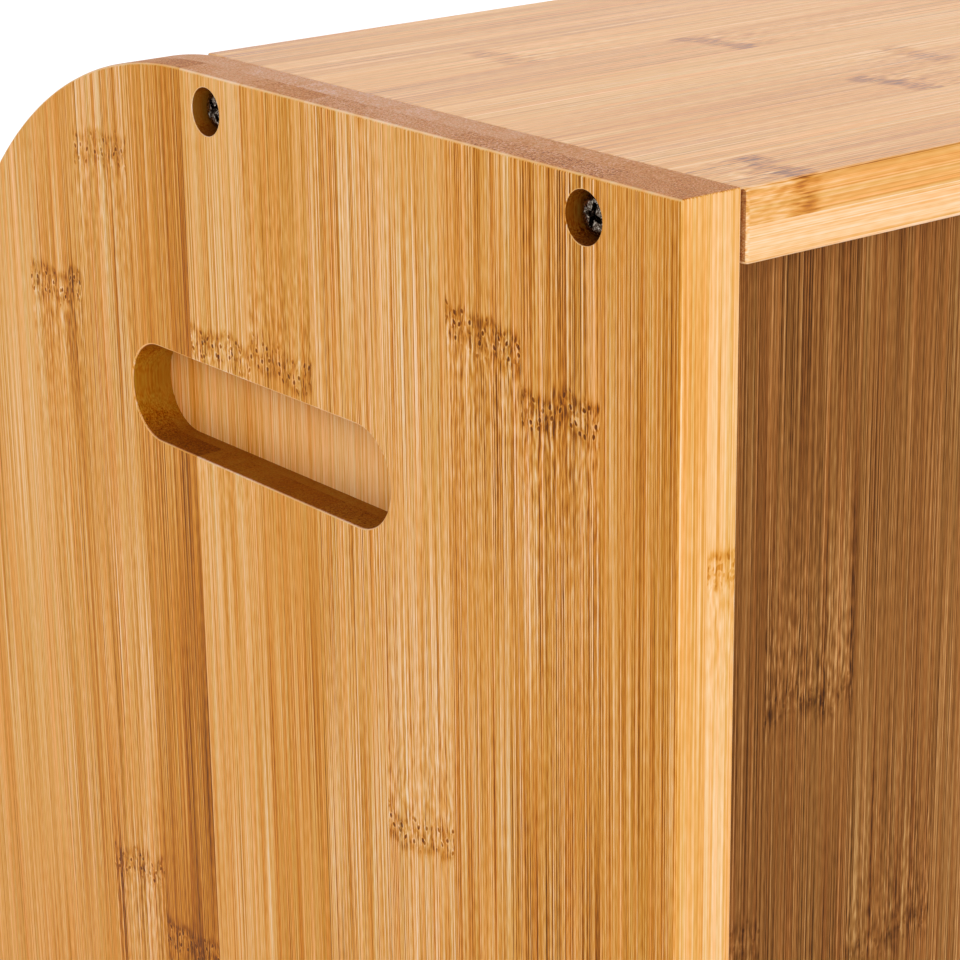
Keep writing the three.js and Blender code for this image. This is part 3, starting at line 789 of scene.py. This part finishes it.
def side_panel(side, name, rows):
    beyond = PANEL_OUT + 0.01
    inside = PANEL_IN - 0.01
    panel = prism(name + "_board", panel_outline(), *span(side, PANEL_IN, PANEL_OUT))
    housing = span(side, inside, PANEL_IN + HOUSING_DEPTH)
    cutters = [
        prism("cutter", pocket_outline(), *span(side, PANEL_OUT - POCKET_DEPTH, beyond)),
        prism("cutter", groove_outline(), *span(side, inside, PANEL_IN + GROOVE_DEPTH)),
        block(
            "cutter",
            (housing[0], FRONT_BOARD_LOW.y - GAP, FRONT_BOARD_LOW.z - GAP),
            (housing[1], FRONT_BOARD_HIGH.y + GAP, FRONT_BOARD_HIGH.z + GAP),
        ),
        block(
            "cutter",
            (housing[0], BACK_LOW.y - GAP, BACK_LOW.z - GAP),
            (housing[1], BACK_HIGH.y + GAP, BACK_HIGH.z + GAP),
        ),
    ]
    screws = screw_centres(side)
    for y, z in screws:
        cutters.append(round_bar(COUNTERBORE_RADIUS, *span(side, PANEL_OUT - COUNTERBORE_DEPTH, beyond), y, z))
        cutters.append(round_bar(SCREW_HOLE_RADIUS, *span(side, inside, beyond), y, z, 24))
    ease(panel, 0.6 * MM, lambda a, b: 1.0 if abs(a.x) + abs(b.x) > PANEL_OUT + PANEL_IN else 0.65)
    cut(panel, cutters)

    pocket_y = (FRONT + REAR) / 2
    pocket_z = TOP - POCKET_BELOW_TOP

    def in_pocket(point):
        return abs(point.y - pocket_y) < POCKET_LENGTH * 0.51 and abs(point.z - pocket_z) < POCKET_HEIGHT * 0.51

    def by_screw(point):
        return any(math.hypot(point.y - y, point.z - z) < COUNTERBORE_RADIUS * 1.02 for y, z in screws)

    def rounding(a, b):
        if any(abs(abs(point.x) - PANEL_OUT) > 1e-5 for point in (a, b)):
            return 0.0
        if in_pocket(a) and in_pocket(b):
            return 0.6
        return 0.3 if by_screw(a) and by_screw(b) else 0.0

    ease(panel, 0.6 * MM, rounding, clamp=False)
    smooth(panel)
    outer = PANEL_OUT
    trimmed = 1 * MM if side > 0 else 4 * MM

    def grain(points):
        return np.column_stack((
            REAR - points[:, 1] + trimmed,
            TOP - points[:, 2],
            outer - np.abs(points[:, 0]),
        ))

    set_grain(panel, grain)
    # The pocket's walls are partly darker cut wood and partly painted shade of the recess. The counterbores' walls get
    # painted shade of their deep holes. The pocket's floor gets painted warm light and a painted shadow below its upper
    # wall.
    face = bamboo(name, rows, PANEL_STRIP, (0, 0, 1), across_faces=(1, 0, 0))
    routed_wood_and_painted_shade = bamboo(name + "_routed", rows, PANEL_STRIP, (0, 0, 1), across_faces=(1, 0, 0), shade=painted_shade_colour(0.54, 0.7, 0.08))
    bored_painted_shade = bamboo(name + "_bored", rows, PANEL_STRIP, (0, 0, 1), across_faces=(1, 0, 0), shade=painted_shade_colour(0.37, 0.56, 0.1))
    floor = bamboo(name + "_pocket", rows, PANEL_STRIP, (0, 0, 1), across_faces=(1, 0, 0), shade=POCKET_PAINTED_BOUNCE_LIGHT, painted_shadow_start=(POCKET_BELOW_TOP - POCKET_HEIGHT / 2) / MM + PAINTED_SHADOW_DEPTH)
    finished(panel, "case", [name], face)
    panel.data.materials.append(routed_wood_and_painted_shade)
    panel.data.materials.append(bored_painted_shade)
    panel.data.materials.append(floor)
    # Faces that take the painted shade and painted light: the pocket's walls, the counterbores and the pocket's floor
    for polygon in panel.data.polygons:
        centre = Vector(polygon.center)
        depth = outer - abs(centre.x)
        walled = abs(polygon.normal.x) < 0.6 and 0.6 * MM < depth < POCKET_DEPTH - 0.1 * MM
        if walled and in_pocket(centre):
            polygon.material_index = 1
        elif in_pocket(centre) and POCKET_DEPTH - 0.1 * MM < depth < POCKET_DEPTH + 0.1 * MM:
            polygon.material_index = 3
        if by_screw(centre) and depth > 0.3 * MM:
            polygon.material_index = 2
    return panel


def pilot_cutters(name):
    """Pilot holes for every screw whose middle is within the board."""
    low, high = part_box(name)
    cutters = []
    for side in (1, -1):
        for y, z in screw_centres(side):
            if low.z < z < high.z:
                ends = span(side, PANEL_OUT - COUNTERBORE_DEPTH - SCREW_LENGTH, PANEL_OUT)
                cutters.append(round_bar(SCREW_HOLE_RADIUS, *ends, y, z, 24))
    return cutters


def flat_board(name, rows, width, slot, grain, along, rounding, cutters=(), widest=0.8 * MM, **looks):
    low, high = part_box(name)
    board = block(name + "_laminated", low, high)
    ease(board, widest, rounding)
    if cutters:
        cut(board, cutters)
    smooth(board)
    set_grain(board, grain)
    finished(board, "case", [name], bamboo(name, rows, width, along, **looks))
    # A board's ends sit in narrow gaps against the side panels and get painted shade, and the rounding next to them a
    # lighter painted shade
    board.data.materials.append(bamboo(name + "_ends_painted_shade", rows, width, along, shade=painted_shade_colour(0.25), **looks))
    board.data.materials.append(bamboo(name + "_corners_painted_shade", rows, width, along, shade=painted_shade_colour(0.5), **looks))
    # Faces that look along the fibres take the painted shade of the gap, and the steep part of their rounding the
    # lighter one
    for polygon in board.data.polygons:
        turned = abs(Vector(polygon.normal).dot(Vector(along)))
        if turned > 0.98:
            polygon.material_index = 1
        elif turned > 0.6 and abs(polygon.normal.z) < 0.3:
            polygon.material_index = 2


def back_groove():
    return block(
        "cutter",
        (-PANEL_OUT, BACK_LOW.y - GAP, BACK_LOW.z - GAP),
        (PANEL_OUT, BACK_HIGH.y + GAP, BACK_HIGH.z + GAP),
    )


def outer_edges(ends=1.0, sides=1.0):
    """A board's rounding, at its ends and along its sides."""
    return lambda a, b: ends if abs(a.x - b.x) < 1e-5 else sides


def top_rounding(a, b):
    """The top board's ends are rounded most, except along the top, where they meet the side panels."""
    if abs(a.x - b.x) > 1e-5:
        return 0.5
    return 0.25 if min(a.z, b.z) > TOP - MM else 1.0


def make_boards():
    top_low, top_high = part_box("top_board")
    base_low, base_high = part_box("base_board")

    def top_grain(points):
        return np.column_stack((REAR - points[:, 1], top_high.x - points[:, 0], top_high.z - points[:, 2]))

    def base_grain(points):
        return np.column_stack((REAR - points[:, 1], base_high.x - points[:, 0], base_high.z - points[:, 2]))

    def front_grain(points):
        low, high = FRONT_BOARD_LOW, FRONT_BOARD_HIGH
        return np.column_stack((high.z - points[:, 2], high.x - points[:, 0], points[:, 1] - low.y))

    def back_grain(points):
        return np.column_stack((
            BACK_HIGH.x - points[:, 0] + BACK_TRIMMED,
            BACK_HIGH.z - points[:, 2],
            BACK_HIGH.y - points[:, 1],
        ))

    flat_board(
        "top_board", two_layers(TOP_STRIPS, 11), TOP_STRIP, "bamboo_board", top_grain, (1, 0, 0),
        top_rounding, [back_groove()] + pilot_cutters("top_board"), 1.6 * MM, pitted=0.12, smudge=0.3, gloss=0.3,
    )
    flat_board(
        "base_board", two_layers([], 21), BOARD_STRIP, "bamboo_board", base_grain, (1, 0, 0),
        outer_edges(), [back_groove()] + pilot_cutters("base_board"),
    )
    flat_board(
        "front_board", two_layers([], 31), BOARD_STRIP, "bamboo_board", front_grain, (1, 0, 0),
        outer_edges(), sideways=(0, 0, 1), across_faces=(0, 1, 0),
    )
    flat_board(
        "back_panel", BACK_STRIPS + random_rows(41, TABLE_ROWS - len(BACK_STRIPS), (0.42, 0.60)), BACK_STRIP, "bamboo_dark", back_grain, (0, 0, 1),
        outer_edges(), widest=0.3 * MM, sideways=(1, 0, 0),
        across_faces=(0, 1, 0), palette=CARBONISED, ply=0.0, contrast=1.08, pitted=0.25,
    )


# ------------------------------------------------------------------------------------ screws and feet


def thread_profile(length):
    """Distances down a screw's shank, close enough together to show its thread."""
    steps = int(length / SCREW_PITCH * 6)
    return [-length + length * i / steps for i in range(steps + 1)]


# A pan head's radius and height, as shares of the whole, from its seat to its crown
SCREW_HEAD_PROFILE = (
    (1.0, 0.0), (1.0, 0.48), (0.98, 0.6), (0.92, 0.74), (0.8, 0.88), (0.62, 0.96), (0.4, 0.99), (0.15, 1.0),
)


def screw_mesh(length):
    """A cross-head wood screw on the y axis, with its seat at 0 and its point at -length."""
    sides = 24
    smooth_part = 6 * MM
    point = 4 * MM
    bm = bmesh.new()
    rings = []
    for y in thread_profile(length):
        ring = []
        for i in range(sides):
            turn = i / sides
            phase = (y / SCREW_PITCH - turn) % 1
            ridge = max(0.0, 1 - abs(phase - 0.5) * 3.2)
            radius = SCREW_CORE_RADIUS + (SCREW_CREST_RADIUS - SCREW_CORE_RADIUS) * ridge
            if y > -smooth_part:
                radius = SCREW_CORE_RADIUS * 1.2
            radius *= min(1.0, max(0.04, (y + length) / point))
            ring.append(bm.verts.new((radius * math.cos(2 * math.pi * turn), y, radius * math.sin(2 * math.pi * turn))))
        rings.append(ring)
    for share, rise in SCREW_HEAD_PROFILE:
        radius = SCREW_HEAD_RADIUS * share
        y = SCREW_HEAD_HEIGHT * rise
        angles = [2 * math.pi * i / sides for i in range(sides)]
        rings.append([bm.verts.new((radius * math.cos(a), y, radius * math.sin(a))) for a in angles])
    for lower, upper in zip(rings, rings[1:]):
        for i in range(sides):
            j = (i + 1) % sides
            bm.faces.new((lower[i], lower[j], upper[j], upper[i]))
    bm.faces.new(rings[0])
    bm.faces.new(rings[-1])
    screw = piece_from_bmesh("screw", bm)
    cut(screw, [cross_wing(0), cross_wing(90)])
    smooth(screw, 40)
    mesh = screw.data
    bpy.data.objects.remove(screw)
    return mesh


def cross_wing(degrees):
    """One wing of a tapered cross recess, as a cutter into the top of a screw's head."""
    top = SCREW_HEAD_HEIGHT + 0.2 * MM
    floor = SCREW_HEAD_HEIGHT - 1.9 * MM
    half_thick = 0.52 * MM
    bm = bmesh.new()
    corners = []
    for y, reach in ((floor, 0.9 * MM), (top, 2.35 * MM)):
        corners.append([bm.verts.new((x, y, z)) for x, z in (
            (-reach, -half_thick), (reach, -half_thick), (reach, half_thick), (-reach, half_thick),
        )])
    low, high = corners
    bm.faces.new(low)
    bm.faces.new(high)
    for i in range(4):
        j = (i + 1) % 4
        bm.faces.new((low[i], low[j], high[j], high[i]))
    bmesh.ops.rotate(bm, verts=bm.verts, matrix=Matrix.Rotation(math.radians(degrees + 20), 3, "Y"))
    return piece_from_bmesh("cutter", bm)


def bronze_steel():
    nodes = Nodes("screw_steel")
    place = nodes.split(nodes.new("ShaderNodeTexCoord").outputs["Object"])
    scaled = [nodes.math("MULTIPLY", axis, 2600) for axis in place]
    wear = nodes.noise(*scaled, 3, 0.6)
    level = nodes.add(wear, 0.5)
    colour, _ = nodes.ramp(level, [(0.3, srgb(42, 32, 26)), (0.5, srgb(74, 60, 48)), (0.72, srgb(224, 212, 196))])
    roughness = nodes.add(0.19, nodes.math("MULTIPLY", wear, 0.25))
    return nodes.principled(colour, roughness, [(wear, 0.03 * MM)], Metallic=1.0)


def make_screws():
    steel = bronze_steel()
    mesh = screw_mesh(SCREW_LENGTH)
    for index, (name, (low, high)) in enumerate(SCREW_BOXES.items()):
        side = 1 if low.x > 0 else -1
        seat = side * (PANEL_OUT - COUNTERBORE_DEPTH + GAP)
        turn = Matrix.Rotation(math.radians(-90 * side), 4, "Z") @ Matrix.Rotation(index * 0.9, 4, "Y")
        place = Matrix.Translation((seat, (low.y + high.y) / 2, (low.z + high.z) / 2)) @ turn
        copy = mesh.copy()
        copy.transform(place)
        finished(new_piece(name + "_turned", copy), "case", [name], steel)
    knob_mesh = screw_mesh(KNOB_SCREW_LENGTH)
    knob_mesh.transform(
        slat_place(LEAD_ANGLE) @ Matrix.Rotation(math.pi, 4, "X")
        @ Matrix.Translation((0, GAP - SLAT_INNER, 0))
    )
    finished(new_piece("knob_screw_turned", knob_mesh), "roll_top", ["knob_screw"], steel)


def make_feet():
    nodes = Nodes("foot_rubber")
    place = nodes.split(nodes.new("ShaderNodeTexCoord").outputs["Object"])
    grit = nodes.noise(*[nodes.math("MULTIPLY", axis, 3500) for axis in place], 2)
    colour, _ = nodes.ramp(nodes.add(grit, 0.5), [(0.2, srgb(30, 28, 27)), (0.8, srgb(58, 55, 53))])
    rubber = nodes.principled(colour, 0.72, [(grit, 0.05 * MM)])
    for name in ("foot_rear_right", "foot_rear_left", "foot_front_right", "foot_front_left"):
        low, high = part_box(name)
        height = high.z - low.z
        sole = FOOT_RADIUS - 0.9 * MM
        profile = [(0, 0.25 * MM), (sole * 0.55, 0.25 * MM), (sole * 0.62, 0)]
        profile += arc(sole, 0.9 * MM, 0.9 * MM, -90, 0, 6)
        profile += [(FOOT_RADIUS, height), (0, height)]
        foot = lathe(name + "_moulded", profile)
        foot.data.transform(Matrix.Translation(((low.x + high.x) / 2, (low.y + high.y) / 2, low.z))
                            @ Matrix.Rotation(math.radians(90), 4, "X"))
        smooth(foot)
        finished(foot, "case", [name], rubber)


# ------------------------------------------------------------------------------------------ roll top


def slat_place(degrees):
    """Takes a shape whose y runs out from the roll top's axis to an angle about that axis."""
    return Matrix.Translation(AXIS) @ Matrix.Rotation(math.radians(degrees), 4, "X")


def curve(start, control, end, steps):
    points = []
    for i in range(steps + 1):
        t = i / steps
        points.append(tuple(
            (1 - t) ** 2 * a + 2 * t * (1 - t) * b + t * t * c for a, b, c in zip(start, control, end)
        ))
    return points


def slat_outline():
    half = SLAT_WIDTH / 2
    edge = SLAT_OUTER - SLAT_EDGE_DROP
    lower = curve((edge, -half), (SLAT_OUTER, -half * 0.75), (SLAT_OUTER, 0), 10)
    upper = curve((SLAT_OUTER, 0), (SLAT_OUTER, half * 0.75), (edge, half), 10)
    return [(SLAT_INNER, -half)] + lower + upper[1:] + [(SLAT_INNER, half)]


def lead_outline():
    half = LEAD_WIDTH / 2
    edge = SLAT_OUTER - SLAT_EDGE_DROP
    flat = half - LEAD_ROUNDING
    lower = curve((edge, -half), (SLAT_OUTER, -half), (SLAT_OUTER, -flat), 8)
    upper = curve((SLAT_OUTER, flat), (SLAT_OUTER, half), (edge, half), 8)
    return [(SLAT_INNER, -half)] + lower + upper + [(SLAT_INNER, half)]


def slat_angle(number):
    """A slat's angle in degrees. Slat 1 is next to the lead slat."""
    gap = SLAT_GAP / SLAT_INNER
    lead_half = math.atan2(LEAD_WIDTH / 2, SLAT_INNER)
    slat_half = math.atan2(SLAT_WIDTH / 2, SLAT_INNER)
    return LEAD_ANGLE - math.degrees(lead_half + slat_half + gap + (number - 1) * (2 * slat_half + gap))


SLAT_STRIP = 13.0


def make_slat(name, outline, number, degrees, material, cutters=()):
    low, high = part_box(name)
    slat = prism(name + "_moulded", outline, low.x, high.x)
    if cutters:
        cut(slat, cutters)
    ease(slat, 0.35 * MM, lambda a, b: 1.0)
    smooth(slat)
    middle = (number + 0.5) * SLAT_STRIP * MM
    set_grain(slat, lambda points: np.column_stack((
        middle + points[:, 2] * 0.98,
        high.x - points[:, 0],
        SLAT_OUTER - points[:, 1],
    )))
    slat.data.transform(slat_place(degrees))
    finished(slat, "roll_top", [name], material)


def woven_canvas():
    nodes = Nodes("canvas")
    weft, warp, _ = nodes.split(nodes.attribute("grain"))
    thread = 0.55
    over = nodes.math("SINE", nodes.math("MULTIPLY", weft, math.pi / thread))
    under = nodes.math("SINE", nodes.math("MULTIPLY", warp, math.pi / thread))
    weave = nodes.math("MULTIPLY", over, under)
    ribs = nodes.math("MAXIMUM", nodes.math("ABSOLUTE", over), nodes.math("ABSOLUTE", under))
    slub = nodes.noise(nodes.math("DIVIDE", weft, 1.2), nodes.math("DIVIDE", warp, 14), 0.0, 2)
    fuzz = nodes.noise(nodes.math("DIVIDE", weft, 0.3), nodes.math("DIVIDE", warp, 0.3), 2.0, 2)
    level = nodes.add(
        0.5,
        nodes.math("MULTIPLY", weave, 0.13),
        nodes.math("MULTIPLY", slub, 0.5),
        nodes.math("MULTIPLY", fuzz, 0.25),
    )
    colour, _ = nodes.ramp(level, [(0.1, srgb(150, 135, 108)), (0.5, srgb(196, 182, 152)), (0.9, srgb(226, 215, 190))])
    height = nodes.add(nodes.math("MULTIPLY", ribs, 0.6), nodes.math("MULTIPLY", weave, 0.4), fuzz)
    return nodes.principled(colour, 0.92, [(height, 0.12 * MM)])


def make_canvas():
    """The cloth glued behind the slats. It follows an arc just inside their backs, with a row of vertices at each
    slat's edge.
    """
    start, end = CANVAS_ANGLES
    hinges = [slat_angle(number) - math.degrees(math.atan2(SLAT_WIDTH / 2, SLAT_INNER)) for number in range(1, 14)]
    between = [angle for angle in sorted(hinges) if start + 1 < angle < end - 1]
    angles = [start] + between + [end]
    outer = SLAT_INNER - GAP
    path = []
    for low, high in zip(angles, angles[1:]):
        for i in range(8):
            a = math.radians(low + (high - low) * i / 8)
            path.append((outer * math.cos(a), outer * math.sin(a)))
    last = math.radians(end)
    path.append((outer * math.cos(last), outer * math.sin(last)))
    lengths = [0.0]
    for a, b in zip(path, path[1:]):
        lengths.append(lengths[-1] + math.dist(a, b))
    columns = 184
    bm = bmesh.new()
    grid = []
    for row, (y, z) in enumerate(path):
        out = Vector((0, y, z)).normalized()
        line = []
        for column in range(columns + 1):
            x = -CANVAS_REACH + 2 * CANVAS_REACH * column / columns
            fray = 0.25 * MM * math.sin(row * 1.7) if column in (0, columns) else 0
            puff = 0.05 * MM * math.sin(column * 0.9 + row) * math.sin(row * math.pi / 8)
            line.append(bm.verts.new(Vector((x + fray, y, z)) - out * (CANVAS_THICKNESS * 0.5 + abs(puff))))
        grid.append(line)
    for lower, upper in zip(grid, grid[1:]):
        for i in range(columns):
            bm.faces.new((lower[i], lower[i + 1], upper[i + 1], upper[i]))
    cloth = piece_from_bmesh("slat_cloth", bm)
    set_grain(cloth, lambda points: np.column_stack((
        points[:, 0], np.repeat(lengths, columns + 1), np.zeros(len(points)),
    )))
    thick = cloth.modifiers.new("thick", "SOLIDIFY")
    thick.thickness = CANVAS_THICKNESS * 0.8
    thick.offset = 0
    apply_modifiers(cloth)
    smooth(cloth)
    cloth.data.transform(Matrix.Translation(AXIS))
    finished(cloth, "roll_top", ["slat_canvas"], woven_canvas())


def make_knob():
    foot, neck_at, head_at = KNOB_FOOT_RADIUS, 4.5 * MM, 12 * MM
    length = 22 * MM
    head = KNOB_HEAD_RADIUS
    profile = [(0, 14 * MM), (SCREW_HOLE_RADIUS, 14 * MM), (SCREW_HOLE_RADIUS, 0), (foot - 0.4 * MM, 0)]
    profile += [(foot, 0.4 * MM)]
    profile += curve((foot, 1.2 * MM), (5.2 * MM, neck_at), (head - 2 * MM, head_at - 3 * MM), 14)
    profile += curve((head - 2 * MM, head_at - 3 * MM), (head, head_at - 1.5 * MM), (head, head_at), 8)[1:]
    profile += curve((head, head_at), (head, length - 2.4 * MM), (head * 0.62, length - 0.5 * MM), 12)[1:]
    profile += curve((head * 0.62, length - 0.5 * MM), (head * 0.4, length), (0, length), 6)[1:]
    knob = lathe("knob_turned", profile, 72)
    smooth(knob)
    set_grain(knob, lambda points: np.column_stack((
        points[:, 0] + 40 * MM, points[:, 1] + 90 * MM, points[:, 2] + 12 * MM,
    )))
    knob.data.transform(slat_place(LEAD_ANGLE) @ Matrix.Translation((0, SLAT_OUTER + GAP, 0)))
    along = (slat_place(LEAD_ANGLE).to_3x3() @ Vector((0, 1, 0))).to_tuple()
    material = bamboo("knob", random_rows(61, TABLE_ROWS, (0.5, 0.62)), 9.0, along, ply=0.0, knuckles=0.0, shade=KNOB_WARMTH)
    finished(knob, "roll_top", ["knob"], material)


def make_roll_top():
    material = bamboo("slats", random_rows(51, TABLE_ROWS, (0.5, 0.66)), SLAT_STRIP, (1, 0, 0), ply=0.0)
    for number, name in enumerate(SLAT_NAMES, 1):
        make_slat(name, slat_outline(), number, slat_angle(number), material)
    hole = lathe("cutter", [(0, 0), (SCREW_HOLE_RADIUS, 0), (SCREW_HOLE_RADIUS, 0.12), (0, 0.12)], 32)
    lead = bamboo("lead", random_rows(52, TABLE_ROWS, (0.52, 0.64)), 24.0, (1, 0, 0), ply=0.0)
    make_slat("lead_slat", lead_outline(), 6, LEAD_ANGLE, lead, [hole])
    make_canvas()
    make_knob()


# ---------------------------------------------------------------------------------------------- run

make_camera()
make_stage()
side_panel(1, "side_panel_right", two_layers(RIGHT_PANEL_STRIPS, 1, RIGHT_PANEL_INNER_STRIPS))
side_panel(-1, "side_panel_left", two_layers([], 5))
make_boards()
make_screws()
make_feet()
make_roll_top()
